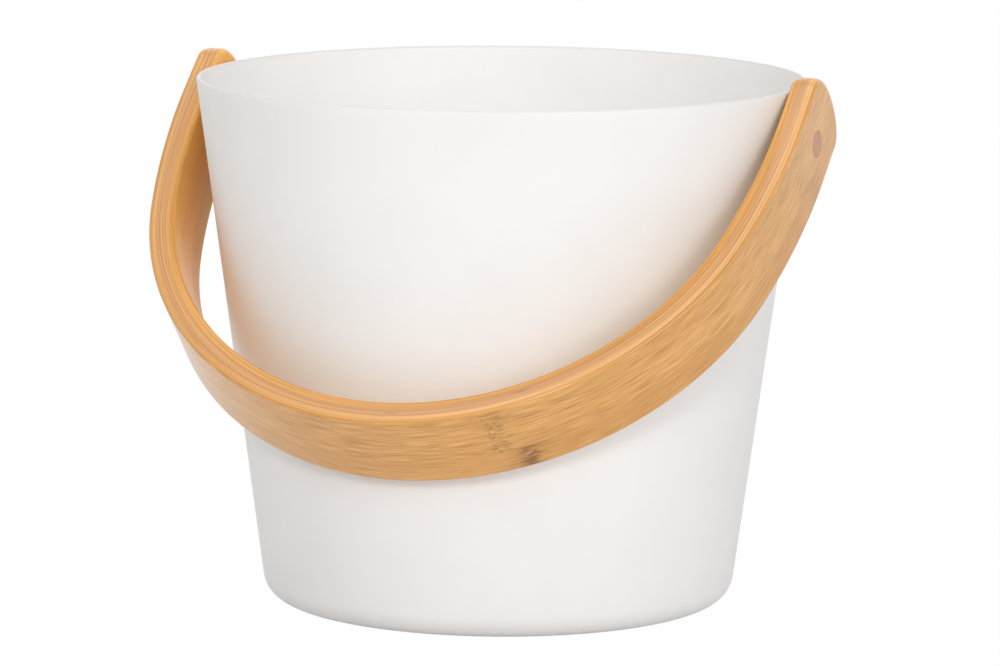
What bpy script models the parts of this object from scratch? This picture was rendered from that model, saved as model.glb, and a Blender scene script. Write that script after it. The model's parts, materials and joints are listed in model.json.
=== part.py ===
"""Sauna bucket: a white lacquered metal pail with a swinging bail of bent laminated bamboo.

Metres, +Z up. The bucket stands on the origin, its axis is Z and the bail swings about a line parallel to X.
The bail hangs in front, towards -Y, and rests against the wall.
"""

from math import asin, atan2, cos, hypot, pi, sin, sqrt

import bmesh
import bpy
from mathutils import Vector

# Bucket
HEIGHT = 0.2000
RIM_DIAMETER = 0.2320
FOOT_DIAMETER = 0.1778        # where the straight wall would meet the ground
FOOT_CORNER_RADIUS = 0.0105
WALL = 0.0018

# Bail
PIVOT_BELOW_RIM = 0.0191
RIM_CLEARANCE = 0.0005        # between an ear's inner face and the rim as the bail swings
BAIL_WIDTH = 0.0347
LAMELLA_THICKNESS = 0.0032
GLUE_LINE = 0.0003
EDGE_RADIUS = 0.0015
GRIP_ROOM = 0.0318            # how far the crown's inner face reaches beyond the half span, seen from the pivot
CROWN_INSET = 0.0037          # how much tighter than the half span the crown is struck
EAR_STRAIGHT = 0.0018         # straight run of each ear on the crown's side of the pivot
EAR_END = 0.0248              # run of each ear beyond the pivot, to the tip of its rounded end
EAR_BOW = 0.0114              # how far that rounded end bows out from the straight sides
EAR_END_RADIUS = 0.0041       # rounding of that end through the bail's thickness

# Pivots
BOLT_DIAMETER = 0.0050
BOLT_HEAD_DIAMETER = 0.0088
BOLT_HEAD_HEIGHT = 0.0024
BOLT_HEAD_CHAMFER = 0.0008
BOLT_SOCKET_WIDTH = 0.0030    # across the flats of the hexagon socket
BOLT_SOCKET_DEPTH = 0.0014
BUSH_WALL = 0.0010
BUSH_FLANGE = 0.0008
PLUG_DIAMETER = 0.0100
PLUG_LENGTH = 0.0028
SPACER_DIAMETER = 0.0140
WASHER_DIAMETER = 0.0120
WASHER_THICKNESS = 0.0010
NUT_WIDTH = 0.0080            # across the flats
NUT_HEX_HEIGHT = 0.0050
NUT_DOME_DIAMETER = 0.0074
BOLT_ENGAGEMENT = 0.0046      # how far the bolt reaches into the nut

# Fits
GAP = 0.0003                  # running and seating clearance between neighbours

# Facets
BUCKET_SEGMENTS = 96          # a multiple of four, so that a flat facet faces each ear and the resting bail
HARDWARE_SEGMENTS = 24
CORNER_STEPS = 5
EDGE_STEPS = 4
END_STEPS = 3
EAR_STEPS = 8
SHOULDER_STEPS = 5
CROWN_STEPS = 18
SMOOTH_ANGLE = 0.6            # edges that turn more than this stay sharp
MERGE_DISTANCE = 1e-7

# Finishes: linear red, green, blue and alpha, then roughness, then metallic value
WHITE_LACQUER = ((0.83, 0.81, 0.79, 1.0), 0.45, 0.0)
BAMBOO_LIGHT = ((0.74, 0.42, 0.16, 1.0), 0.50, 0.0)
BAMBOO_TAN = ((0.63, 0.34, 0.13, 1.0), 0.50, 0.0)
PLUG_WOOD = ((0.50, 0.26, 0.15, 1.0), 0.55, 0.0)
STAINLESS_STEEL = ((0.56, 0.56, 0.57, 1.0), 0.30, 1.0)
IVORY_NYLON = ((0.78, 0.75, 0.68, 1.0), 0.50, 0.0)

SIDES = (("left", -1), ("right", 1))
LAMELLAE = ("handle_inner_lamella", "handle_middle_lamella", "handle_outer_lamella")

# Derived from the above
rim_radius = RIM_DIAMETER / 2
foot_radius = FOOT_DIAMETER / 2
wall_slope = (rim_radius - foot_radius) / HEIGHT
wall_tilt = atan2(rim_radius - foot_radius, HEIGHT)
pivot_height = HEIGHT - PIVOT_BELOW_RIM
half_span = rim_radius + RIM_CLEARANCE
bail_thickness = len(LAMELLAE) * LAMELLA_THICKNESS + (len(LAMELLAE) - 1) * GLUE_LINE
crown_radius = half_span - CROWN_INSET
bail_reach = half_span + GRIP_ROOM
crown_centre = bail_reach - crown_radius
shoulder_turn = 2 * atan2(CROWN_INSET, crown_centre - EAR_STRAIGHT)
shoulder_radius = crown_radius + (crown_centre - EAR_STRAIGHT) / sin(shoulder_turn)
facet_flat = cos(pi / BUCKET_SEGMENTS)   # a facet's distance from the axis, as a share of its corners' radius


def wall_radius(height):
    """Corner radius of the straight outer wall at a height."""
    return foot_radius + wall_slope * height


def rest_angle():
    """Angle of the resting bail from straight down, towards the front.

    The rounded lower edge of the crown's inner face lies one gap from the front wall. With R the reach to that
    rounding's centre and m its distance from the bail's middle plane, the contact condition is
    R sin(angle + tilt) - m cos(angle + tilt) = rounding + gap + distance of the wall line from the pivot.
    """
    reach = bail_reach + EDGE_RADIUS
    middle = BAIL_WIDTH / 2 - EDGE_RADIUS
    wall_distance = foot_radius * cos(wall_tilt) + pivot_height * sin(wall_tilt)
    total = EDGE_RADIUS + GAP + wall_distance
    return asin(total / hypot(reach, middle)) + atan2(middle, reach) - wall_tilt


def make_material(name, finish):
    """Principled material with one colour."""
    colour, roughness, metallic = finish
    material = bpy.data.materials.new(name)
    material.use_nodes = True
    shader = material.node_tree.nodes["Principled BSDF"]
    shader.inputs["Base Color"].default_value = colour
    shader.inputs["Roughness"].default_value = roughness
    shader.inputs["Metallic"].default_value = metallic
    material.diffuse_color = colour
    return material


def add_object(name, mesh_builder, material=None, parent=None, location=(0, 0, 0), rotation=(0, 0, 0)):
    """Turn a bmesh into a placed, smooth-shaded object. Without a material it is a cutter."""
    mesh = bpy.data.meshes.new(name)
    bmesh.ops.recalc_face_normals(mesh_builder, faces=mesh_builder.faces)
    mesh_builder.to_mesh(mesh)
    mesh_builder.free()
    mesh.shade_smooth()
    mesh.set_sharp_from_angle(angle=SMOOTH_ANGLE)
    piece = bpy.data.objects.new(name, mesh)
    bpy.context.scene.collection.objects.link(piece)
    piece.parent = parent
    piece.location = location
    piece.rotation_euler = rotation
    if material is None:
        piece.hide_render = True
        piece.display_type = "WIRE"
    else:
        mesh.materials.append(material)
    return piece


def trim(piece, cutter, operation="DIFFERENCE"):
    """Cut a piece with a cutter object."""
    modifier = piece.modifiers.new(cutter.name, "BOOLEAN")
    modifier.operation = operation
    modifier.solver = "EXACT"
    modifier.object = cutter


def turned(profile, segments, closed=False):
    """Revolve a profile of (radius, height) points about Z, with a facet facing +X.

    An open profile starts and ends on the axis. A closed one is the section of a ring.
    """
    builder = bmesh.new()
    start = pi / segments
    corners = [builder.verts.new((r * cos(start), r * sin(start), z)) for r, z in profile]
    pairs = list(zip(corners, corners[1:]))
    if closed:
        pairs.append((corners[-1], corners[0]))
    edges = [builder.edges.new(pair) for pair in pairs]
    bmesh.ops.spin(builder, geom=corners + edges, cent=(0, 0, 0), axis=(0, 0, 1), angle=2 * pi,
                   steps=segments, use_merge=True)
    bmesh.ops.remove_doubles(builder, verts=builder.verts, dist=MERGE_DISTANCE)
    return builder


def rod(radius, bottom, top, segments=HARDWARE_SEGMENTS):
    """Plain cylinder about Z."""
    return turned([(0, top), (radius, top), (radius, bottom), (0, bottom)], segments)


def hexagon_bar(width, bottom, top):
    """Hexagon bar about Z, given its width across the flats."""
    return rod(width / 2 / cos(pi / 6), bottom, top, segments=6)


def ring_section(inner_radius, outer_radius, top, bottom):
    """Square section of a plain ring."""
    return [(inner_radius, top), (outer_radius, top), (outer_radius, bottom), (inner_radius, bottom)]


def arc_points(centre_radius, centre_height, radius, start, end, steps):
    """Points of an arc in the (radius, height) plane."""
    turns = [start + (end - start) * step / steps for step in range(steps + 1)]
    return [(centre_radius + radius * cos(turn), centre_height + radius * sin(turn)) for turn in turns]


def foot_corner(offset, floor):
    """Rounded corner between the floor and the wall, for the surface that lies offset inside the outer one."""
    radius = FOOT_CORNER_RADIUS - offset
    centre_height = floor + radius
    wall_here = foot_radius + wall_slope * centre_height - offset / cos(wall_tilt)
    centre_radius = wall_here - radius / cos(wall_tilt)
    return arc_points(centre_radius, centre_height, radius, -wall_tilt, -pi / 2, CORNER_STEPS)


def bucket_profile():
    """Half section of the shell, from its floor up the inside, over the rim, down the outside and under the base."""
    rim_round = WALL / 2
    rim_centre = wall_radius(HEIGHT - rim_round) - rim_round / cos(wall_tilt)
    rim = arc_points(rim_centre, HEIGHT - rim_round, rim_round, pi - wall_tilt, -wall_tilt, CORNER_STEPS)
    outside = foot_corner(0, 0)
    inside = foot_corner(WALL, WALL)
    return [(0, WALL)] + inside[::-1] + rim + outside + [(0, 0)]


def cone(offset):
    """Solid cone that follows the outer wall's facets, moved outwards by a distance square to the wall."""
    grow = offset / cos(wall_tilt) / facet_flat
    top, bottom = wall_radius(HEIGHT) + grow, wall_radius(0) + grow
    return turned([(0, HEIGHT), (top, HEIGHT), (bottom, 0), (0, 0)], BUCKET_SEGMENTS)


class PivotStack:
    """Places of the pivot's pieces along its axis, as distances from the bucket's axis."""

    ear_inner = half_span
    ear_outer = half_span + bail_thickness
    plug_inner = ear_outer - PLUG_LENGTH
    head_outer = plug_inner - GAP
    head_inner = head_outer - BOLT_HEAD_HEIGHT
    flange_outer = head_inner - GAP
    flange_inner = flange_outer - BUSH_FLANGE
    counterbore_floor = flange_inner - GAP
    spacer_outer = ear_inner - GAP
    wall_inner = (wall_radius(pivot_height) - WALL / cos(wall_tilt)) * facet_flat
    washer_inner = wall_inner - GAP - WASHER_THICKNESS - wall_slope * WASHER_DIAMETER / 2
    nut_outer = washer_inner - GAP
    bolt_tip = nut_outer - BOLT_ENGAGEMENT
    nut_dome_start = nut_outer - NUT_HEX_HEIGHT
    bolt_radius = BOLT_DIAMETER / 2
    bolt_hole = bolt_radius + GAP
    bush_radius = bolt_hole + BUSH_WALL
    bush_hole = bush_radius + GAP
    counterbore = PLUG_DIAMETER / 2 + GAP


def rounding_inset(height, radius):
    """How far a rounded edge lies inside the full outline, at a height above the bail's inner face."""
    into_edge = max(radius - min(height, bail_thickness - height), 0.0)
    return radius - sqrt(max(radius ** 2 - into_edge ** 2, 0.0))


def bail_path(height):
    """Stations of the bail's outline from the right ear's tip to the left one's, at a height above its inner face.

    Each station is (x, drop below the pivot, outward normal's angle, half width) on the inner face. An ear is
    straight and its end is half an ellipse across its width, then a wide shoulder arc leads into the crown's arc.
    The outline lies inset where the long edges and the ears' ends are rounded.
    """
    full = BAIL_WIDTH / 2 - rounding_inset(height, EDGE_RADIUS)
    bow = EAR_BOW - rounding_inset(height, EAR_END_RADIUS)
    half = []
    for step in range(1, EAR_STEPS + 1):
        turn = pi / 2 * step / EAR_STEPS
        half.append((half_span, EAR_BOW - EAR_END - bow * cos(turn), 0.0, full * sin(turn)))
    for step in range(SHOULDER_STEPS):
        turn = shoulder_turn * step / SHOULDER_STEPS
        x = half_span - shoulder_radius * (1 - cos(turn))
        half.append((x, EAR_STRAIGHT + shoulder_radius * sin(turn), turn, full))
    for step in range(CROWN_STEPS):
        turn = shoulder_turn + (pi / 2 - shoulder_turn) * step / CROWN_STEPS
        half.append((crown_radius * cos(turn), crown_centre + crown_radius * sin(turn), turn, full))
    crown = [(0.0, bail_reach, pi / 2, full)]
    other = [(-x, drop, pi - turn, width) for x, drop, turn, width in reversed(half)]
    return half + crown + other


def edge_levels(inner, outer):
    """Heights of one lamella's outlines above the bail's inner face, from its inner to its outer face.

    They lie close together through the bail's rounded edges, then in even steps through the rest of a lamella
    whose end is rounded.
    """
    turns = [pi / 2 * step / EDGE_STEPS for step in range(EDGE_STEPS + 1)]
    rounding = [EDGE_RADIUS * (1 - cos(turn)) for turn in turns]
    rest = outer - inner - EDGE_RADIUS
    depths = rounding + [EDGE_RADIUS + rest * step / END_STEPS for step in range(1, END_STEPS + 1)]
    if inner == 0:
        return depths
    if outer == bail_thickness:
        return [outer - depth for depth in reversed(depths)]
    return [inner, outer]


def lamella(inner, outer):
    """One bent strip: its outline at every level, joined into a skin, with both faces closed from side to side."""
    builder = bmesh.new()
    rings = []
    for height in edge_levels(inner, outer):
        front, back = [], []
        for x, drop, turn, half_width in bail_path(height):
            along, down = x + height * cos(turn), drop + height * sin(turn)
            front.append(builder.verts.new((along, -half_width, -down)))
            back.append(builder.verts.new((along, half_width, -down)))
        rings.append(front + back[::-1])
    count = len(rings[0])
    for near, far in zip(rings, rings[1:]):
        for corner in range(count):
            following = (corner + 1) % count
            builder.faces.new((near[corner], near[following], far[following], far[corner]))
    for ring in (rings[0], rings[-1]):
        for station in range(count // 2 - 1):
            builder.faces.new((ring[station], ring[station + 1], ring[-2 - station], ring[-1 - station]))
    return builder


def build_bucket(lacquer):
    """The shell, bored through for the two pivot bolts."""
    shell = add_object("bucket_shell", turned(bucket_profile(), BUCKET_SEGMENTS), lacquer)
    bore = rod(PivotStack.bolt_hole, -rim_radius - WALL, rim_radius + WALL)
    bores = add_object("bolt_bores_cutter", bore, location=(0, 0, pivot_height), rotation=(0, pi / 2, 0))
    trim(shell, bores)


def build_bail(pivot, tan, light):
    """The three glued lamellae, with the counterbored pivot holes of both ears."""
    cutters = []
    for side, facing in SIDES:
        place = {"parent": pivot, "rotation": (0, facing * pi / 2, 0)}
        hole = rod(PivotStack.bush_hole, PivotStack.ear_inner - GAP, PivotStack.ear_outer)
        well = rod(PivotStack.counterbore, PivotStack.counterbore_floor, PivotStack.ear_outer + GAP)
        cutters.append(add_object("bush_hole_cutter_" + side, hole, **place))
        cutters.append(add_object("plug_well_cutter_" + side, well, **place))
    last = len(LAMELLAE) - 1
    for layer, name in enumerate(LAMELLAE):
        inner = layer * (LAMELLA_THICKNESS + GLUE_LINE)
        outer = bail_thickness if layer == last else inner + LAMELLA_THICKNESS
        wood = light if layer in (0, last) else tan
        strip = add_object(name, lamella(inner, outer), wood, parent=pivot)
        for cutter in cutters:
            trim(strip, cutter)


def build_bail_fittings(side, facing, pivot, wood, steel):
    """What turns with one ear: the dowel plug and the flanged bush."""
    stack = PivotStack
    place = {"parent": pivot, "rotation": (0, facing * pi / 2, 0)}
    plug = rod(PLUG_DIAMETER / 2, stack.plug_inner, stack.ear_outer)
    add_object("dowel_plug_" + side, plug, wood, **place)
    flange_radius = BOLT_HEAD_DIAMETER / 2
    section = [(stack.bolt_hole, stack.flange_outer), (flange_radius, stack.flange_outer),
               (flange_radius, stack.flange_inner), (stack.bush_radius, stack.flange_inner),
               (stack.bush_radius, stack.ear_inner), (stack.bolt_hole, stack.ear_inner)]
    add_object("pivot_bush_" + side, turned(section, HARDWARE_SEGMENTS, closed=True), steel, **place)


def cap_nut_section():
    """Half section of the domed nut's round blank, open towards the wall for the bolt's end."""
    stack = PivotStack
    corner_radius = NUT_WIDTH / 2 / cos(pi / 6)
    chamfer = corner_radius - NUT_WIDTH / 2
    bore_floor = stack.bolt_tip - GAP
    dome_radius = NUT_DOME_DIAMETER / 2
    dome = arc_points(0, stack.nut_dome_start, dome_radius, 0, -pi / 2, CORNER_STEPS)[:-1]
    return [(0, bore_floor), (stack.bolt_hole, bore_floor), (stack.bolt_hole, stack.nut_outer),
            (NUT_WIDTH / 2, stack.nut_outer), (corner_radius, stack.nut_outer - chamfer),
            (corner_radius, stack.nut_dome_start)] + dome + [(0, stack.nut_dome_start - dome_radius)]


def build_wall_fittings(side, facing, cutters, steel, nylon):
    """What stays with the wall on one side: the bolt, the two wedge washers and the domed nut."""
    stack = PivotStack
    place = {"location": (0, 0, pivot_height), "rotation": (0, facing * pi / 2, 0)}
    head_radius = BOLT_HEAD_DIAMETER / 2
    bolt_section = [(0, stack.head_outer), (head_radius - BOLT_HEAD_CHAMFER, stack.head_outer),
                    (head_radius, stack.head_outer - BOLT_HEAD_CHAMFER), (head_radius, stack.head_inner),
                    (stack.bolt_radius, stack.head_inner), (stack.bolt_radius, stack.bolt_tip),
                    (0, stack.bolt_tip)]
    bolt = add_object("pivot_bolt_" + side, turned(bolt_section, HARDWARE_SEGMENTS), steel, **place)
    socket = hexagon_bar(BOLT_SOCKET_WIDTH, stack.head_outer - BOLT_SOCKET_DEPTH, stack.head_outer + GAP)
    trim(bolt, add_object("bolt_socket_cutter_" + side, socket, **place))

    spacer_depth = SPACER_DIAMETER * wall_slope + SPACER_DIAMETER ** 2 / rim_radius
    spacer_section = ring_section(stack.bolt_hole, SPACER_DIAMETER / 2, stack.spacer_outer,
                                  wall_radius(pivot_height) - spacer_depth)
    spacer = add_object("wall_spacer_" + side, turned(spacer_section, HARDWARE_SEGMENTS, closed=True),
                        nylon, **place)
    trim(spacer, cutters["outside"])

    washer_section = ring_section(stack.bolt_hole, WASHER_DIAMETER / 2, wall_radius(pivot_height),
                                  stack.washer_inner)
    washer = add_object("inner_washer_" + side, turned(washer_section, HARDWARE_SEGMENTS, closed=True),
                        nylon, **place)
    trim(washer, cutters["inside"], "INTERSECT")

    nut = add_object("cap_nut_" + side, turned(cap_nut_section(), HARDWARE_SEGMENTS), steel, **place)
    flats = hexagon_bar(NUT_WIDTH, stack.nut_dome_start - NUT_WIDTH, stack.nut_outer + GAP)
    trim(nut, add_object("nut_flats_cutter_" + side, flats, **place), "INTERSECT")


def main():
    for old in list(bpy.data.objects):
        bpy.data.objects.remove(old)
    lacquer = make_material("white_lacquer", WHITE_LACQUER)
    light = make_material("bamboo_light", BAMBOO_LIGHT)
    tan = make_material("bamboo_tan", BAMBOO_TAN)
    plug_wood = make_material("plug_wood", PLUG_WOOD)
    steel = make_material("stainless_steel", STAINLESS_STEEL)
    nylon = make_material("ivory_nylon", IVORY_NYLON)

    build_bucket(lacquer)
    pivot = bpy.data.objects.new("bail_pivot", None)
    bpy.context.scene.collection.objects.link(pivot)
    pivot.location = Vector((0, 0, pivot_height))
    pivot.rotation_euler = (-rest_angle(), 0, 0)
    build_bail(pivot, tan, light)

    cutters = {"outside": add_object("outer_wall_cutter", cone(GAP)),
               "inside": add_object("inner_wall_cutter", cone(-WALL - GAP))}
    for side, facing in SIDES:
        build_bail_fittings(side, facing, pivot, plug_wood, steel)
        build_wall_fittings(side, facing, cutters, steel, nylon)


if __name__ == "__main__":
    main()
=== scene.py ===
"""Looks of the sauna bucket: white lacquered shell, bent bamboo bail and the fittings of its pivots.

The file is laid out as an add-on and is run as a script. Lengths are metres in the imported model's frame:
the bucket stands on the origin, the bail's pivots lie along X and the bail hangs in front, towards -Y.
"""

import json
from math import atan2, cos, pi, radians, sin, sqrt
from typing import NamedTuple

import bmesh
import bpy
import numpy as np
from bpy.props import FloatProperty, FloatVectorProperty, PointerProperty
from mathutils import Matrix, Vector


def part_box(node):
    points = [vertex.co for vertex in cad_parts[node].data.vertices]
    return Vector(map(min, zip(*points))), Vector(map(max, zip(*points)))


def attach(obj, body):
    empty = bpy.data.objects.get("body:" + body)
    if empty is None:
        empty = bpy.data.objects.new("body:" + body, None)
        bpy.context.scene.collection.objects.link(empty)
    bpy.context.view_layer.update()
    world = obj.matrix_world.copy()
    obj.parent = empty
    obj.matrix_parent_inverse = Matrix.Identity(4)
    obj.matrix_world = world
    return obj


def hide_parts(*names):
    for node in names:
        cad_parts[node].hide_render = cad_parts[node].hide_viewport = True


bl_info = {
    "name": "Sauna bucket",
    "version": (1, 0, 0),
    "blender": (4, 5, 0),
    "location": "3D View > Sidebar > Bucket",
    "description": "Dresses a lacquered sauna bucket with a bent bamboo bail",
    "category": "Add Mesh",
}

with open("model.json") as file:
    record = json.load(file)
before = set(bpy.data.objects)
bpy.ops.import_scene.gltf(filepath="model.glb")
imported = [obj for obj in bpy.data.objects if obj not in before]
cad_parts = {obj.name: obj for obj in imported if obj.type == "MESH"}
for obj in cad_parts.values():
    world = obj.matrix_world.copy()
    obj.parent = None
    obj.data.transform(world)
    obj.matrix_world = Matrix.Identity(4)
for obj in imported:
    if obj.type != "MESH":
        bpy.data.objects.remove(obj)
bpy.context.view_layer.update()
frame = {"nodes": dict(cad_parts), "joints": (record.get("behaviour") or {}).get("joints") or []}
SIDES = (("left", -1), ("right", 1))
SMOOTH_ANGLE = radians(40)

# Places of the pivots' pieces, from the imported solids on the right
PIVOT_HEIGHT = frame["joints"][0]["pos_m"][2]
EAR_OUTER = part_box("dowel_plug_right")[1].x
EAR_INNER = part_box("pivot_bush_right")[0].x
BAIL_THICKNESS = EAR_OUTER - EAR_INNER
NUT_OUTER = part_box("cap_nut_right")[1].x
NUT_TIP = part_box("cap_nut_right")[0].x
WASHER_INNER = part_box("inner_washer_right")[0].x
SEAT_GAP = 0.0003   # between a wedge washer and what it seats on


def length(label, description, default):
    """A size in metres for a panel."""
    return FloatProperty(name=label, description=description, default=default, precision=4,
                         unit="LENGTH")


def angle(label, description, degrees):
    """An angle for a panel, given in degrees."""
    return FloatProperty(name=label, description=description, default=radians(degrees), subtype="ANGLE")


def colour(label, description, default):
    """A linear colour for a panel."""
    return FloatVectorProperty(name=label, description=description, default=default, size=3,
                               min=0.0, max=1.0, subtype="COLOR")


def share(label, description, default):
    """A plain number for a panel."""
    return FloatProperty(name=label, description=description, default=default, precision=3)


class ShellSizes(bpy.types.PropertyGroup):
    """Sizes of the lacquered shell."""

    height: length("Height", "From the ground to the top of the rim", 0.2000)
    rim_diameter: length("Rim diameter", "Outside, with the straight wall carried up to the top", 0.2318)
    foot_diameter: length("Foot diameter", "Where the straight wall would meet the ground", 0.1777)
    foot_corner: length("Foot corner", "Radius between the wall and the base", 0.0105)
    wall: length("Wall", "Thickness of the lacquered sheet", 0.0018)
    bolt_hole: length("Bolt hole", "Diameter of the holes for the pivot bolts", 0.0056)


class BailSizes(bpy.types.PropertyGroup):
    """Sizes of the laminated bail."""

    width: length("Width", "Across the bent strips", 0.0347)
    strip: length("Strip", "Thickness of one bamboo strip with its share of glue", 0.0034)
    seam: length("Seam", "Open line left between two strips", 0.00001)
    edge_radius: length("Edge radius", "Rounding of the bail's long edges", 0.0015)
    grip_room: length("Grip room", "Reach of the crown beyond the half span", 0.0318)
    crown_inset: length("Crown inset", "How much tighter than the half span the crown is struck", 0.0037)
    ear_straight: length("Straight ear", "Straight run from the pivot to the shoulder", 0.0018)
    ear_end: length("Ear end", "Run of an ear beyond the pivot", 0.0248)
    ear_bow: length("Ear bow", "How far an ear's rounded end bows out from its straight sides", 0.0114)
    end_radius: length("End radius", "Rounding of an ear's end through the bail's thickness", 0.0041)
    lean: angle("Lean", "Angle of the resting bail from straight down", 47.613)
    plug_hole: length("Plug hole", "Diameter of the hole that the dowel plug fills", 0.0101)
    head_hole: length("Head hole", "Diameter of the well for the bolt's head", 0.0106)
    bush_hole: length("Bush hole", "Diameter of the hole for the bush", 0.0082)


class FittingSizes(bpy.types.PropertyGroup):
    """Sizes of the pivots' fittings."""

    plug_diameter: length("Plug diameter", "Of the dowel plug in each ear", 0.0100)
    plug_length: length("Plug length", "Of the dowel plug in each ear", 0.0028)
    bore: length("Bore", "Of the washers and the nut round the bolt", 0.0056)
    spacer_diameter: length("Spacer diameter", "Of the wedge between the wall and the ear", 0.0140)
    washer_diameter: length("Washer diameter", "Of the wedge inside the wall", 0.0120)
    ease: length("Eased edge", "Rounding of the washers' edges", 0.0003)
    nut_width: length("Nut width", "Across the flats", 0.0080)
    nut_hexagon: length("Nut hexagon", "Height of the nut's hexagon", 0.0050)
    nut_bore: length("Nut bore", "Depth of the nut's bore", 0.0049)
    nut_dome: length("Dome diameter", "Of the nut's dome", 0.0074)


class Finishes(bpy.types.PropertyGroup):
    """Colours of the finishes."""

    lacquer: colour("Lacquer", "White of the shell", (0.92, 0.903, 0.888))
    bamboo_pale: colour("Pale bamboo", "Light fibres of the strips", (0.98, 0.55, 0.185))
    bamboo_tan: colour("Tan bamboo", "Dark fibres of the strips", (0.50, 0.20, 0.037))
    inner_pale: colour("Inner pale bamboo", "Light fibres of the bail's inner face", (0.98, 0.49, 0.115))
    inner_tan: colour("Inner tan bamboo", "Dark fibres of the bail's inner face", (0.90, 0.43, 0.085))
    inner_bleached: colour("Bleached bamboo", "Inner face away from the left leg", (0.78, 0.56, 0.34))
    edge_pale: colour("Pale edge", "Light fibres of the strips' narrow sides", (0.81, 0.42, 0.122))
    edge_deep: colour("Deep edge", "Dark fibres of the strips' narrow sides", (0.50, 0.205, 0.040))
    bamboo_node: colour("Node", "Marks where the cane had its nodes", (0.23, 0.09, 0.025))
    glue: colour("Glue", "Lines between the strips", (0.33, 0.145, 0.035))
    plug: colour("Plug", "End grain of the dowel plugs", (0.67, 0.335, 0.20))
    steel: colour("Steel", "Bolts, bushes and nuts", (0.60, 0.60, 0.61))
    nylon: colour("Nylon", "Wedge washers", (0.80, 0.77, 0.70))


class StageSettings(bpy.types.PropertyGroup):
    """Camera and light."""

    camera_distance: length("Camera distance", "Along the ground from the bucket's axis", 2.2126)
    camera_height: length("Camera height", "Above the ground", 0.4401)
    camera_turn: angle("Camera turn", "From the front round to the right", 22.07)
    camera_pitch: angle("Camera pitch", "Above the horizon", -8.698)
    camera_roll: angle("Camera roll", "About the line of sight", 0.413)
    lens: share("Lens", "Focal length in millimetres on a sensor 36 mm wide", 211.0)
    ambient: share("Ambient", "Strength of the even light from all round", 0.56)
    key_power: share("Key power", "Watts of the lamp beside the camera", 31.0)
    right_power: share("Right power", "Watts of the lamp in front on the right", 34.0)
    top_power: share("Top power", "Watts of the lamp overhead", 28.0)
    gleam_power: share("Gleam power", "Watts of the small lamp that the bail's upper edge mirrors", 7.5)
    back_power: share("Back power", "Watts of the lamp behind", 24.0)
    floor_white: share("Floor white", "Share of the floor's look that is plain white", 0.988)


NOISE_RANGE = (0.3, 0.7)   # where most values of a noise lie


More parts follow.
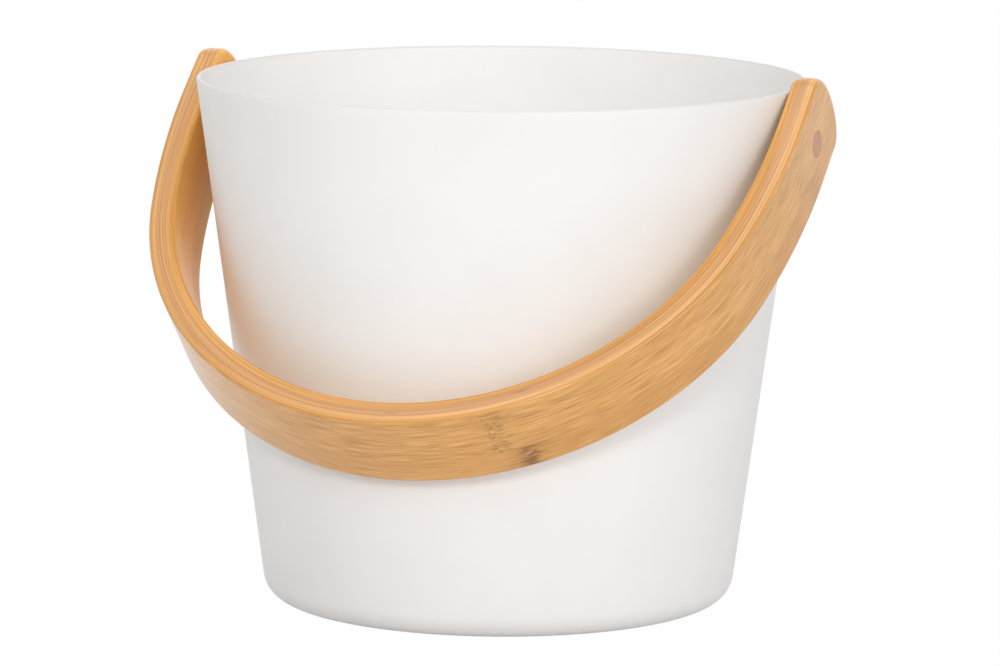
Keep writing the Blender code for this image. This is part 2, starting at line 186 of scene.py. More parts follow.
class Finish:
    """A node material in the making: adds nodes, links what is given as a socket and sets the rest."""

    def __init__(self, name, **constants):
        self.material = bpy.data.materials.new(name)
        self.material.use_nodes = True
        self.tree = self.material.node_tree
        self.surface = self.tree.nodes["Principled BSDF"]
        for socket, value in constants.items():
            self.surface.inputs[socket.replace("_", " ")].default_value = value

    def put(self, socket, value):
        """Link a socket to another, or set its value."""
        if isinstance(value, bpy.types.NodeSocket):
            self.tree.links.new(value, socket)
        elif socket.type == "RGBA":
            socket.default_value = (*tuple(value)[:3], 1.0)
        else:
            socket.default_value = value

    def set(self, socket, value):
        """Give the surface shader one of its inputs."""
        self.put(self.surface.inputs[socket], value)

    def node(self, kind, *values, **settings):
        """Add a node with its settings and its first inputs in order."""
        made = self.tree.nodes.new("ShaderNode" + kind)
        for name, value in settings.items():
            setattr(made, name, value)
        for socket, value in zip(made.inputs, values):
            self.put(socket, value)
        return made

    def place(self):
        """Coordinates in the piece's own space, in metres."""
        return self.node("TexCoord").outputs["Object"]

    def math(self, operation, *values):
        """Difference, comparison and so on of numbers."""
        return self.node("Math", *values, operation=operation).outputs[0]

    def plus(self, first, second):
        """Sum of two numbers."""
        return self.math("ADD", first, second)

    def times(self, first, second):
        """Product of two numbers."""
        return self.math("MULTIPLY", first, second)

    def ramp(self, value, low, high, start=0.0, end=1.0):
        """Straight, clamped ramp of a number from low to high onto start to end."""
        return self.node("MapRange", value, low, high, start, end).outputs[0]

    def spread(self, noise, start=0.0, end=1.0):
        """Ramp over most of a noise's range onto start to end."""
        return self.ramp(noise, *NOISE_RANGE, start, end)

    def bell(self, value, width):
        """Bell curve 1 / (1 + (value / width)^2)^2, which is 1 at zero and small past the width."""
        scaled = self.math("DIVIDE", value, width)
        inner = self.plus(self.times(scaled, scaled), 1.0)
        return self.math("DIVIDE", 1.0, self.times(inner, inner))

    def stretch(self, vector, cells, shift):
        """A vector counted in cells, so many to a metre along each axis, and shifted by some of them."""
        mapping = self.node("Mapping", vector)
        mapping.inputs["Location"].default_value = shift
        mapping.inputs["Scale"].default_value = cells
        return mapping.outputs[0]

    def noise(self, vector, cells, detail=2.0, roughness=0.5, shift=(0.0, 0.0, 0.0)):
        """Smooth noise about 0.5, with so many cells to a metre along each axis."""
        made = self.node("TexNoise", self.stretch(vector, cells, shift))
        made.inputs["Scale"].default_value = 1.0
        made.inputs["Detail"].default_value = detail
        made.inputs["Roughness"].default_value = roughness
        return made.outputs[0]

    def from_dots(self, vector, cells, shift=(0.0, 0.0, 0.0)):
        """Distance in cells from the nearest of strewn dots, about one to a cell."""
        made = self.node("TexVoronoi", self.stretch(vector, cells, shift))
        made.inputs["Scale"].default_value = 1.0
        return made.outputs["Distance"]

    def mix(self, amount, first, second):
        """A colour between two others. The node takes colours at sockets 6 and 7 and gives one at 2."""
        made = self.node("Mix", amount, data_type="RGBA")
        self.put(made.inputs[6], first)
        self.put(made.inputs[7], second)
        return made.outputs[2]

    def clouded(self, noise, tint, darkest):
        """A colour that goes with a noise from a darker shade of itself to its full tone."""
        return self.mix(self.spread(noise), shade(tint, darkest), tint)

    def spot(self, vector, centre, radii):
        """1 in the middle of an ellipsoid of those half lengths and 0 from its surface on."""
        offset = self.node("VectorMath", vector, centre, operation="SUBTRACT").outputs[0]
        scaled = self.node("VectorMath", offset, radii, operation="DIVIDE").outputs[0]
        away = self.node("VectorMath", scaled, operation="LENGTH").outputs["Value"]
        return self.ramp(away, 0.0, 1.0, 1.0, 0.0)

    def bump(self, height, distance, strength=1.0):
        """Surface relief of a height from 0 to 1, of that distance in metres."""
        made = self.node("Bump")
        self.put(made.inputs["Height"], height)
        made.inputs["Strength"].default_value = strength
        made.inputs["Distance"].default_value = distance
        self.set("Normal", made.outputs[0])

    def skin(self, noise, roughness, distance, strength=1.0):
        """Roughness and relief that follow one noise."""
        self.set("Roughness", self.spread(noise, *roughness))
        self.bump(noise, distance, strength)


def shade(tint, amount):
    """A colour made darker by a factor."""
    return tuple(amount * part for part in tint)


def lacquer_finish(finishes, shell):
    """Satin white lacquer with a faint orange-peel skin, and painted shade that greys the rim's top."""
    finish = Finish("satin_white_lacquer", Specular_IOR_Level=0.5)
    place = finish.place()
    cloud = finish.noise(place, cells=(24, 24, 24), detail=3.0)
    white = finish.clouded(cloud, finishes.lacquer, darkest=0.965)
    # Painted shade: the rim's top is greyed to 0.80 of the white, which darkens the thin bright line that
    # the lamps from above light there.
    height = finish.node("SeparateXYZ", place).outputs["Z"]
    painted_shade_begins = shell.height - 0.5 * shell.wall
    painted_shade_full = shell.height - 0.2 * shell.wall
    painted_rim_shade = finish.ramp(height, painted_shade_begins, painted_shade_full)
    finish.set("Base Color", finish.mix(painted_rim_shade, white, shade(finishes.lacquer, amount=0.80)))
    finish.skin(finish.noise(place, cells=(650, 650, 650)), roughness=(0.50, 0.60), distance=0.000012)
    return finish.material


# Bamboo patterns: cells per metre along the fibres, across them and through the strip
WAVE_CELLS = (26, 120, 120)
STREAK_CELLS = (80, 1750, 1750)
BAND_CELLS = (42, 520, 520)
LAYER_CELLS = (9, 0, 1500)
TONE_CELLS = (8, 90, 90)
DASH_CELLS = (40, 1700, 1700)
SPECK_CELLS = (620, 900, 900)
BAR_CELLS = (270, 950, 950)
ZIGZAG_CELLS = (0, 190, 190)
SEED_STEPS = (7.3, 3.1, 5.7)   # cells by which a strip's seed shifts its patterns

# Bamboo ramps: two values of a pattern or of the run, then what they are turned into
SWAY_RAMP = (0.0, 1.0, -0.0011, 0.0011)
ZIGZAG_RAMP = (0.25, 0.75, -0.002, 0.002)
SPECK_RAMP = (0.22, 0.50, 0.9, 0.0)
SMEAR_RAMP = (0.40, 0.62, 0.0, 0.5)
PATCH_RAMP = (0.32, 0.62, 0.15, 0.95)
EAR_FADE_RAMP = (0.03, 0.13, 0.3, 1.0)
DASH_RAMP = (0.68, 0.78, 0.0, 0.6)
GLUE_RAMP = (0.40, 0.62, 0.10, 0.6)

# Bamboo sizes in metres, and shares
STREAK_SHARE = 0.70
BAND_SHARE = 0.18
TONE_SHARE = 0.12
BLEACHED_RUN = (0.28, 0.34)   # where along the bail a bleached strip takes on its full colour
NODE_SPACING = 0.151
CHAIN_WIDTH = 0.0024          # half width of the chain of specks at a node
SMEAR_WIDTH = 0.0034          # half width of the smear beside it
SMEAR_LEAD = 0.0026           # how far the smear lies nearer the right ear
PATCH_WIDTH = 0.0062          # half width of the lowest lath's node
LOW_LATH_EDGE = -0.0055       # place across the strip, below which its lowest lath begins
LOW_LATH_LEAD = 0.0095        # how far that lath's nodes lie nearer the right ear than the others'
LOW_LATH_WARMTH = 0.35
EDGE_BAND = (0.0011, 0.0005)  # depths below the narrow side where its wood begins and where it is full
EDGE_WANDER = 0.0005
GLUE_REACH = 0.0004

# Single marks: the centre and the half lengths as run, place across and height, then the strength
EDGE_MARKS = (
    ((0.158, 0.0174, 0.0044), (0.0045, 0.003, 0.0005), 1.0),
    ((0.2052, 0.0174, 0.0055), (0.0030, 0.003, 0.0005), 0.7),
)
FACE_MARKS = (
    ((0.0245, 0.0115, 0.0102), (0.0060, 0.0022, 0.003), 0.16),
    ((0.0130, -0.0085, 0.0102), (0.0050, 0.0030, 0.003), 0.12),
    ((0.0315, -0.0165, 0.0102), (0.0070, 0.0030, 0.003), 0.22),
)


class StripLook(NamedTuple):
    """What sets the looks of one strip apart from the others'."""

    seed: int
    coat: float
    node_run: float
    pale: tuple
    tan: tuple
    edge_tone: float
    marks: tuple = ()
    bleached: float = 0.0


class Bamboo(Finish):
    """Clear-coated bamboo, by the run along the unrolled strip, the place across and the height in it."""

    def __init__(self, name, finishes, look):
        super().__init__(name, Specular_IOR_Level=0.06, Coat_Weight=look.coat, Coat_Roughness=0.2)
        self.finishes = finishes
        self.look = look
        self.shift = tuple(look.seed * step for step in SEED_STEPS)
        self.grain = self.node("Attribute", attribute_name="grain").outputs["Vector"]
        self.run, self.across, self.height = self.node("SeparateXYZ", self.grain).outputs
        sway = self.ramp(self.pattern(self.grain, WAVE_CELLS), *SWAY_RAMP)
        aside = self.node("CombineXYZ", 0.0, sway, 0.0).outputs[0]
        self.fibres = self.node("VectorMath", self.grain, aside, operation="ADD").outputs[0]
        self.streaks = self.pattern(self.fibres, STREAK_CELLS, detail=2.0, roughness=0.55)
        self.bands = self.pattern(self.fibres, BAND_CELLS, detail=2.0)
        self.tone = self.pattern(self.grain, TONE_CELLS)
        self.low_lath = self.math("LESS_THAN", self.across, LOW_LATH_EDGE)

    def pattern(self, vector, cells, detail=1.0, roughness=0.5):
        """Noise that is shifted to differ from the other strips'."""
        return self.noise(vector, cells, detail, roughness, self.shift)

    def face_wood(self):
        """Tan to pale wood with fine streaks and broader bands, bleached along part of the run."""
        fine = self.spread(self.streaks, 0.0, STREAK_SHARE)
        broad = self.spread(self.bands, 0.0, BAND_SHARE)
        blend = self.plus(self.plus(fine, broad), self.spread(self.tone, 0.0, TONE_SHARE))
        wood = self.mix(blend, self.look.tan, self.look.pale)
        bleach = self.ramp(self.run, *BLEACHED_RUN, self.look.bleached, 0.0)
        return self.mix(bleach, wood, self.finishes.inner_bleached)

    def edge_wood(self):
        """Warmer wood of the narrow sides, in thin layers."""
        layers = self.spread(self.pattern(self.grain, LAYER_CELLS, detail=2.0))
        tone = self.plus(layers, self.look.edge_tone)
        return self.mix(tone, self.finishes.edge_deep, self.finishes.edge_pale)

    def node_marks(self):
        """Strength of the cane's nodes: a zigzag chain of specks with a smear, and a patch in the low lath.

        Each is a bell curve of the run from the nearest node times a pattern, fainter by the right ear.
        """
        run = self.math("SUBTRACT", self.run, self.look.node_run)
        run = self.plus(run, self.times(self.low_lath, LOW_LATH_LEAD))
        run = self.math("WRAP", run, NODE_SPACING / 2, -NODE_SPACING / 2)
        run = self.plus(run, self.ramp(self.pattern(self.grain, ZIGZAG_CELLS), *ZIGZAG_RAMP))
        specks = self.ramp(self.from_dots(self.grain, SPECK_CELLS, self.shift), *SPECK_RAMP)
        bars = self.pattern(self.grain, BAR_CELLS)
        chain = self.times(self.bell(run, CHAIN_WIDTH), specks)
        beside = self.plus(run, SMEAR_LEAD)
        smear = self.times(self.bell(beside, SMEAR_WIDTH), self.ramp(bars, *SMEAR_RAMP))
        patch = self.times(self.bell(run, PATCH_WIDTH), self.ramp(bars, *PATCH_RAMP))
        upper_laths = self.math("SUBTRACT", 1.0, self.low_lath)
        marks = self.plus(self.times(self.math("MAXIMUM", chain, smear), upper_laths),
                          self.times(patch, self.low_lath))
        return self.times(marks, self.ramp(self.run, *EAR_FADE_RAMP))

    def narrow_sides(self, width):
        """1 on the narrow sides and 0 on the faces, with a border that wanders a little."""
        wander = self.spread(self.bands, -EDGE_WANDER, EDGE_WANDER)
        outwards = self.plus(self.math("ABSOLUTE", self.across), wander)
        return self.ramp(outwards, *(width / 2 - depth for depth in EDGE_BAND))

    def glue_lines(self, strip):
        """Strength of the two glue lines, which come and go along the bail."""
        first, second = (self.math("SUBTRACT", self.height, level) for level in (strip, 2 * strip))
        away = self.math("MINIMUM", self.math("ABSOLUTE", first), self.math("ABSOLUTE", second))
        near = self.ramp(away, 0.0, GLUE_REACH, 1.0, 0.0)
        return self.times(near, self.ramp(self.tone, *GLUE_RAMP))


def bamboo_finish(name, finishes, bail, look):
    """Bamboo of one strip: layers of colour over the wood of its faces, each with its strength."""
    finish = Bamboo(name, finishes, look)
    edge_wood = finish.edge_wood()
    dashes = finish.ramp(finish.pattern(finish.fibres, DASH_CELLS), *DASH_RAMP)
    layers = [
        (finish.times(finish.low_lath, LOW_LATH_WARMTH), edge_wood),
        (finish.node_marks(), finishes.bamboo_node),
        (finish.narrow_sides(bail.width), edge_wood),
        (dashes, finishes.glue),
    ]
    for centre, radii, amount in look.marks:
        spot = finish.spot(finish.grain, centre, radii)
        layers.append((finish.times(spot, amount), finishes.bamboo_node))
    layers.append((finish.glue_lines(bail.strip), finishes.glue))
    wood = finish.face_wood()
    for strength, tint in layers:
        wood = finish.mix(strength, wood, tint)
    finish.set("Base Color", wood)
    finish.skin(finish.streaks, roughness=(0.45, 0.36), distance=0.00003, strength=0.6)
    return finish.material


def plug_finish(finishes):
    """Reddish dowel end grain: small pores on a soft cloud of tone."""
    finish = Finish("dowel_end_grain", Specular_IOR_Level=0.5)
    place = finish.place()
    cloud = finish.noise(place, cells=(260, 260, 260), detail=3.0)
    wood = finish.clouded(cloud, finishes.plug, darkest=0.78)
    away = finish.from_dots(place, cells=(1500, 1900, 1500))
    pores = finish.ramp(away, low=0.12, high=0.3, start=0.5, end=0.0)
    finish.set("Base Color", finish.mix(pores, wood, shade(finishes.plug, amount=0.45)))
    finish.set("Roughness", finish.spread(cloud, start=0.42, end=0.52))
    finish.bump(pores, distance=0.00003, strength=0.5)
    return finish.material


def steel_finish(finishes):
    """Turned stainless steel: fine rings about the pivot's axis in tone and roughness."""
    finish = Finish("turned_stainless_steel", Metallic=1.0)
    rings = finish.noise(finish.place(), cells=(4200, 260, 260))
    finish.set("Base Color", finish.clouded(rings, finishes.steel, darkest=0.86))
    finish.skin(rings, roughness=(0.20, 0.34), distance=0.000006, strength=0.5)
    return finish.material


def nylon_finish(finishes):
    """Moulded ivory nylon with a fine matt skin."""
    finish = Finish("moulded_ivory_nylon", Specular_IOR_Level=0.45)
    place = finish.place()
    cloud = finish.noise(place, cells=(190, 190, 190), detail=3.0)
    finish.set("Base Color", finish.clouded(cloud, finishes.nylon, darkest=0.90))
    finish.skin(finish.noise(place, cells=(2600, 2600, 2600)), roughness=(0.45, 0.60), distance=0.00001)
    return finish.material


def grid_faces(numbers):
    """Quads between neighbouring rows and columns of an array of point numbers."""
    near, far = numbers[:-1], numbers[1:]
    return np.stack([near[:, :-1], near[:, 1:], far[:, 1:], far[:, :-1]], -1).reshape(-1, 4)


def around(numbers):
    """The same array with its first column again at the end, so that its rows close."""
    return np.concatenate([numbers, numbers[:, :1]], 1)


def fans(numbers, centre):
    """Triangles from one row of point numbers, closed to a ring, to a centre point."""
    following = np.roll(numbers, -1)
    return np.stack([numbers, following, np.full_like(numbers, centre)], -1)


def quarter(steps):
    """Evenly spaced angles of a quarter turn."""
    return np.linspace(0, pi / 2, steps + 1)


def window(rows, columns, row, column):
    """How many cells every grid point lies from a centre point: the larger of the steps down and along."""
    down = np.abs(np.arange(rows) - row)[:, None]
    along = np.abs(np.arange(columns) - column)[None, :]
    return np.maximum(down, along)


TINY = 1e-9   # keeps the centre of a window from dividing by zero


def round_off(first, second, squares, inner, outer, radius):
    """Bend a square window of a grid round a hole.

    A point keeps its direction from the centre. On the inner square it moves to the hole's radius, on the
    outer one it stays, and between them its distance goes evenly from one to the other.
    """
    part = np.clip((squares - inner) / (outer - inner), 0, 1)
    distance = np.maximum(np.hypot(first, second), TINY)
    factor = (1 - part) * radius / distance + part
    return first * factor, second * factor


def ring_order(numbers, squares, inner, first, second):
    """Point numbers on the inner square of a window, in order round its centre."""
    on_ring = squares == inner
    order = np.argsort(np.arctan2(second[on_ring], first[on_ring]))
    return numbers[on_ring][order]


def open_cells(numbers, *windows):
    """Quads of a grid without those inside the inner square of each (squares, inner) window."""
    faces = grid_faces(numbers)
    keep = np.ones(len(faces), bool)
    for squares, inner in windows:
        corners = np.stack([squares[:-1, :-1], squares[:-1, 1:], squares[1:, 1:], squares[1:, :-1]], -1)
        keep &= (corners.reshape(-1, 4) > inner).any(1)
    return faces[keep]


def add_piece(name, points, faces, material, body, stands_for, grain=None):
    """Make a closed, smooth-shaded piece from arrays of points and faces, riding on a body."""
    used = np.unique(np.concatenate([part.ravel() for part in faces]))
    numbering = np.zeros(len(points), int)
    numbering[used] = np.arange(len(used))
    mesh = bpy.data.meshes.new(name)
    polygons = [face for part in faces for face in numbering[part].tolist()]
    mesh.from_pydata(points[used].tolist(), [], polygons)
    builder = bmesh.new()
    builder.from_mesh(mesh)
    bmesh.ops.recalc_face_normals(builder, faces=builder.faces)
    builder.to_mesh(mesh)
    builder.free()
    mesh.shade_smooth()
    mesh.set_sharp_from_angle(angle=SMOOTH_ANGLE)
    if grain is not None:
        layer = mesh.attributes.new("grain", "FLOAT_VECTOR", "POINT")
        layer.data.foreach_set("vector", grain[used].astype(np.float32).ravel())
    mesh.materials.append(material)
    piece = bpy.data.objects.new(name, mesh)
    bpy.context.scene.collection.objects.link(piece)
    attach(piece, body)
    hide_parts(*stands_for)
    return piece


def wall_tilt(shell):
    """The wall's angle from upright."""
    return atan2((shell.rim_diameter - shell.foot_diameter) / 2, shell.height)


def wall_radius(shell, height, inset=0.0):
    """Radius of the wall's straight line at a height, moved inwards by a distance square to the wall."""
    tilt = wall_tilt(shell)
    return shell.foot_diameter / 2 + np.tan(tilt) * height - inset / cos(tilt)


def arc(centre_radius, centre_height, radius, start, end, steps):
    """Points (radius, height) of an arc between two angles."""
    turn = np.linspace(start, end, steps + 1)
    return np.stack([centre_radius + radius * np.cos(turn), centre_height + radius * np.sin(turn)], -1)


SHELL_CELL = 0.0007
SHELL_HOLE_CELLS = 3
SHELL_WINDOW_CELLS = 8
SHELL_COARSE_COLUMNS = 110
LOW_WALL_ROWS = 24
HIGH_WALL_ROWS = 4
CORNER_STEPS = 14
RIM_STEPS = 14
FLOOR_RINGS = 8


def wall_rows(low, high):
    """Heights of the wall's rows: wide steps, and even cells across the band of the bolt holes."""
    reach = SHELL_WINDOW_CELLS * SHELL_CELL
    band = PIVOT_HEIGHT + np.linspace(-reach, reach, 2 * SHELL_WINDOW_CELLS + 1)
    below = np.linspace(low, band[0], LOW_WALL_ROWS)[:-1]
    above = np.linspace(band[-1], high, HIGH_WALL_ROWS)[1:]
    return np.concatenate([below, band, above])


def wall_columns(radius):
    """Angles of the shell's columns: even cells across the bolt holes at 0 and pi, wider ones between."""
    reach = SHELL_WINDOW_CELLS * SHELL_CELL / radius
    fine = np.linspace(-reach, reach, 2 * SHELL_WINDOW_CELLS + 1)
    coarse = np.linspace(reach, pi - reach, SHELL_COARSE_COLUMNS)[1:-1]
    return np.concatenate([fine, coarse, fine + pi, coarse + pi])


def shell_profile(shell):
    """Half section of the shell: from the floor's middle up the inside, over the rim and down to the base.

    Gives the points (radius, height) and the rows through the bolt holes, inside and outside.
    """
    tilt = wall_tilt(shell)
    rounding = shell.wall / 2
    rim_height = shell.height - rounding
    rim_radius = wall_radius(shell, rim_height) - rounding / cos(tilt)
    rim = arc(rim_radius, rim_height, rounding, pi - tilt, -tilt, RIM_STEPS)
    corners = []
    for inset in (shell.wall, 0.0):
        radius = shell.foot_corner - inset
        centre_height = inset + radius
        centre = wall_radius(shell, centre_height, inset) - radius / cos(tilt)
        corners.append(arc(centre, centre_height, radius, -pi / 2, -tilt, CORNER_STEPS))
    inner, outer = corners
    rows_in = wall_rows(inner[-1, 1], rim[0, 1])[1:-1]
    rows_out = wall_rows(outer[-1, 1], rim[-1, 1])[1:-1]
    wall_in = np.stack([wall_radius(shell, rows_in, shell.wall), rows_in], -1)
    wall_out = np.stack([wall_radius(shell, rows_out), rows_out], -1)
    floor = np.linspace(0, inner[0, 0], FLOOR_RINGS + 1)[:-1]
    base = np.linspace(0, outer[0, 0], FLOOR_RINGS + 1)[:-1]
    floor = np.stack([floor, np.full_like(floor, shell.wall)], -1)
    base = np.stack([base, np.zeros_like(base)], -1)
    profile = np.concatenate([floor, inner, wall_in, rim, wall_out[::-1], outer[::-1], base[::-1]])
    heights = profile[:, 1]
    hole_rows = np.flatnonzero(np.abs(heights - PIVOT_HEIGHT) < SHELL_CELL / 10)
    return profile, hole_rows


def shell_surface(shell):
    """The shell's profile turned about Z, (r cos a, r sin a, z), with the bolt holes rounded off.

    In a hole's window the pair (y, z) is bent round the hole, and x follows from the cone by
    x^2 = r(z)^2 - y^2.
    """
    profile, hole_rows = shell_profile(shell)
    rings = profile[1:-1]
    columns = wall_columns(wall_radius(shell, PIVOT_HEIGHT))
    radius, height = rings[:, :1], rings[:, 1:]
    x = radius * np.cos(columns)
    y = radius * np.sin(columns)
    z = np.broadcast_to(height, x.shape).copy()
    numbers = np.arange(x.size).reshape(x.shape)
    windows = []
    hole_rings = {}
    for row, inset in zip(hole_rows - 1, (shell.wall, 0.0)):
        for column, facing in ((SHELL_WINDOW_CELLS, 1), (len(columns) // 2 + SHELL_WINDOW_CELLS, -1)):
            squares = window(*x.shape, row, column)
            inside = squares <= SHELL_WINDOW_CELLS
            up, side = round_off(z - PIVOT_HEIGHT, y, squares, SHELL_HOLE_CELLS, SHELL_WINDOW_CELLS,
                                 shell.bolt_hole / 2)
            bent = wall_radius(shell, PIVOT_HEIGHT + up, inset)
            z = np.where(inside, PIVOT_HEIGHT + up, z)
            y = np.where(inside, side, y)
            x = np.where(inside, facing * np.sqrt(np.maximum(bent ** 2 - side ** 2, 0)), x)
            windows.append((squares, SHELL_HOLE_CELLS))
            ring = ring_order(numbers, squares, SHELL_HOLE_CELLS, up, side)
            hole_rings.setdefault(facing, []).append(ring)
    points = np.stack([x, y, z], -1).reshape(-1, 3)
    poles = np.array([[0, 0, profile[0, 1]], [0, 0, profile[-1, 1]]])
    closed = around(numbers)
    closed_windows = [(around(squares), inner) for squares, inner in windows]
    faces = [open_cells(closed, *closed_windows)]
    faces += [fans(numbers[0], x.size), fans(numbers[-1], x.size + 1)]
    faces += [grid_faces(around(np.stack(pair))) for pair in hole_rings.values()]
    return np.concatenate([points, poles]), faces


class BailLine:
    """The bent line of the bail's inner face, measured by its run from the right pivot."""

    def __init__(self, bail):
        self.bail = bail
        self.crown_radius = EAR_INNER - bail.crown_inset
        self.crown_drop = bail.crown_inset + bail.grip_room
        rise = self.crown_drop - bail.ear_straight
        self.shoulder_turn = 2 * atan2(bail.crown_inset, rise)
        self.shoulder_radius = self.crown_radius + rise / sin(self.shoulder_turn)
        self.shoulder_end = bail.ear_straight + self.shoulder_radius * self.shoulder_turn
        self.middle = self.shoulder_end + self.crown_radius * (pi / 2 - self.shoulder_turn)

    def points(self, run, across, height):
        """Points in the frame, from the run along the line, the place across and the height above it.

        The ear is straight, the shoulder is an arc of a wide radius and the crown an arc about the bail's
        centre line. Past the middle the line is its own mirror image.
        """
        bail = self.bail
        past = run > self.middle
        near = np.where(past, 2 * self.middle - run, run)
        shoulder = np.clip((near - bail.ear_straight) / self.shoulder_radius, 0, self.shoulder_turn)
        crown = np.maximum((near - self.shoulder_end) / self.crown_radius, 0)
        turn = shoulder + crown
        on_crown = crown > 0
        x = np.where(on_crown, self.crown_radius * np.cos(turn),
                     EAR_INNER - self.shoulder_radius * (1 - np.cos(shoulder)))
        drop = np.where(on_crown, self.crown_drop + self.crown_radius * np.sin(turn),
                        np.minimum(near, bail.ear_straight) + self.shoulder_radius * np.sin(shoulder))
        x = np.where(past, -1, 1) * (x + height * np.cos(turn))
        drop = drop + height * np.sin(turn)
        lean = bail.lean
        y = -drop * sin(lean) - across * cos(lean)
        z = PIVOT_HEIGHT - drop * cos(lean) + across * sin(lean)
        return np.stack([x, y, z], -1)


STRIP_CELLS = 60
HOLE_WINDOW_CELLS = 16
EAR_END_ROWS = 16
LEAD_ROWS = 6
BEND_STEP = 0.0022
EDGE_STEPS = 6
END_STEPS = 4
HOLE_FILL = 0.93   # share of a hole's radius that the cells left out of the grid take up


def strip_rows(line, cell):
    """Rows of the strip's grid for half of the bail, from an ear's tip to the middle.

    Gives the rounded end's rows as shares, 1 at the tip and 0 where the sides become straight, and the runs
    of the rows past them: even cells across the pivot's hole, then steps along the bend.
    """
    bail = line.bail
    reach = HOLE_WINDOW_CELLS * cell
    lead = np.linspace(bail.ear_bow - bail.ear_end, -reach, LEAD_ROWS + 1)[1:-1]
    ear = np.linspace(-reach, reach, 2 * HOLE_WINDOW_CELLS + 1)
    steps = int(round((line.middle - reach) / BEND_STEP))
    bend = np.linspace(reach, line.middle, steps + 1)[1:]
    return np.linspace(1, 0, EAR_END_ROWS + 1), np.concatenate([lead, ear, bend])


def rounding_inset(height, radius):
    """How far a rounded edge of the bail lies inside the full outline, at a height above the inner face.

    With d the distance to the nearer face and r the radius it is r - sqrt(r^2 - (r - d)^2), and 0 from
    d = r on.
    """
    depth = min(height, BAIL_THICKNESS - height)
    into_edge = max(radius - depth, 0.0)
    return radius - sqrt(max(radius ** 2 - into_edge ** 2, 0.0))


def strip_grid(line, ends, runs, height):
    """Run and place across of every point of the unrolled strip, for its outline at a height.

    An ear's end is half an ellipse. Its rows are those of a square bent into a disc: with the shares u
    across and w towards the tip, a point lies at u sqrt(1 - w^2 / 2) across and at w sqrt(1 - u^2 / 2)
    towards the tip.
    """
    bail = line.bail
    half = bail.width / 2 - rounding_inset(height, bail.edge_radius)
    bow = bail.ear_bow - rounding_inset(height, bail.end_radius)
    share_across = np.linspace(-1, 1, STRIP_CELLS + 1)
    tip = ends[:, None] * np.sqrt(1 - share_across ** 2 / 2)
    end_run = bail.ear_bow - bail.ear_end - bow * tip
    end_across = half * share_across * np.sqrt(1 - ends[:, None] ** 2 / 2)
    run = np.concatenate([end_run, np.repeat(runs[:, None], STRIP_CELLS + 1, 1)])
    across = np.concatenate([end_across, np.repeat(half * share_across[None], len(runs), 0)])
    mirrored = 2 * line.middle - run[-2::-1]
    return np.concatenate([run, mirrored]), np.concatenate([across, across[-2::-1]])


def perimeter(numbers):
    """Point numbers round the border of a grid, in order."""
    return np.concatenate([numbers[0, :-1], numbers[:-1, -1], numbers[-1, :0:-1], numbers[:0:-1, 0]])


def strip_levels(bail, bottom, top):
    """Heights of a strip's outlines between its faces, from the top down.

    On the bail's own faces they lie at r (1 - cos t) through the rounded edges and then in even steps. The
    middle strip has none.
    """
    rounding = bail.edge_radius * (1 - np.cos(quarter(EDGE_STEPS)[1:]))
    even = np.linspace(bail.edge_radius, top - bottom, END_STEPS + 1)[1:-1]
    depths = np.concatenate([rounding, even])
    if bottom == 0.0:
        return depths[::-1]
    if top == BAIL_THICKNESS:
        return top - depths
    return depths[:0]


def strip_surface(line, bottom, top, hole):
    """One strip of the bail as a closed surface, worked out flat and then bent along the line.

    Two faces are grids of (run, across). Between their borders run rings of the outline, which lies further
    in where the edges and the ears' ends are rounded. A round hole goes through each ear.
    """
    bail = line.bail
    cell = bail.width / STRIP_CELLS
    ends, runs = strip_rows(line, cell)
    rows = 2 * (len(ends) + len(runs)) - 1
    hole_row = int(np.argmin(np.abs(runs))) + len(ends)
    hole_cells = int(HOLE_FILL * hole / 2 / cell)
    hole_rows = (hole_row, rows - 1 - hole_row)
    squares = [window(rows, STRIP_CELLS + 1, row, STRIP_CELLS // 2) for row in hole_rows]
    flat, faces, borders, hole_rings = [], [], [], [[], []]
    count = 0
    for height in (top, bottom):
        along, across = strip_grid(line, ends, runs, height)
        numbers = count + np.arange(along.size).reshape(along.shape)
        for side, (square, centre) in enumerate(zip(squares, (0.0, 2 * line.middle))):
            offset, bent = round_off(along - centre, across, square, hole_cells, HOLE_WINDOW_CELLS,
                                     hole / 2)
            inside = square <= HOLE_WINDOW_CELLS
            hole_rings[side].append(ring_order(numbers, square, hole_cells, offset, bent))
            along = np.where(inside, centre + offset, along)
            across = np.where(inside, bent, across)
        flat.append(np.stack([along, across, np.full_like(along, height)], -1).reshape(-1, 3))
        faces.append(open_cells(numbers, *[(square, hole_cells) for square in squares]))
        borders.append(perimeter(numbers))
        count += along.size
    faces += [grid_faces(around(np.stack(pair))) for pair in hole_rings]

    rings = [borders[0]]
    for height in strip_levels(bail, bottom, top):
        along, across = strip_grid(line, ends, runs, height)
        border = perimeter(np.arange(along.size).reshape(along.shape))
        level = np.full(len(border), height)
        ring = np.stack([along.ravel()[border], across.ravel()[border], level], -1)
        rings.append(count + np.arange(len(ring)))
        flat.append(ring)
        count += len(ring)
    rings.append(borders[1])
    faces.append(grid_faces(around(np.stack(rings))))
    grain = np.concatenate(flat)
    return line.points(*grain.T), faces, grain


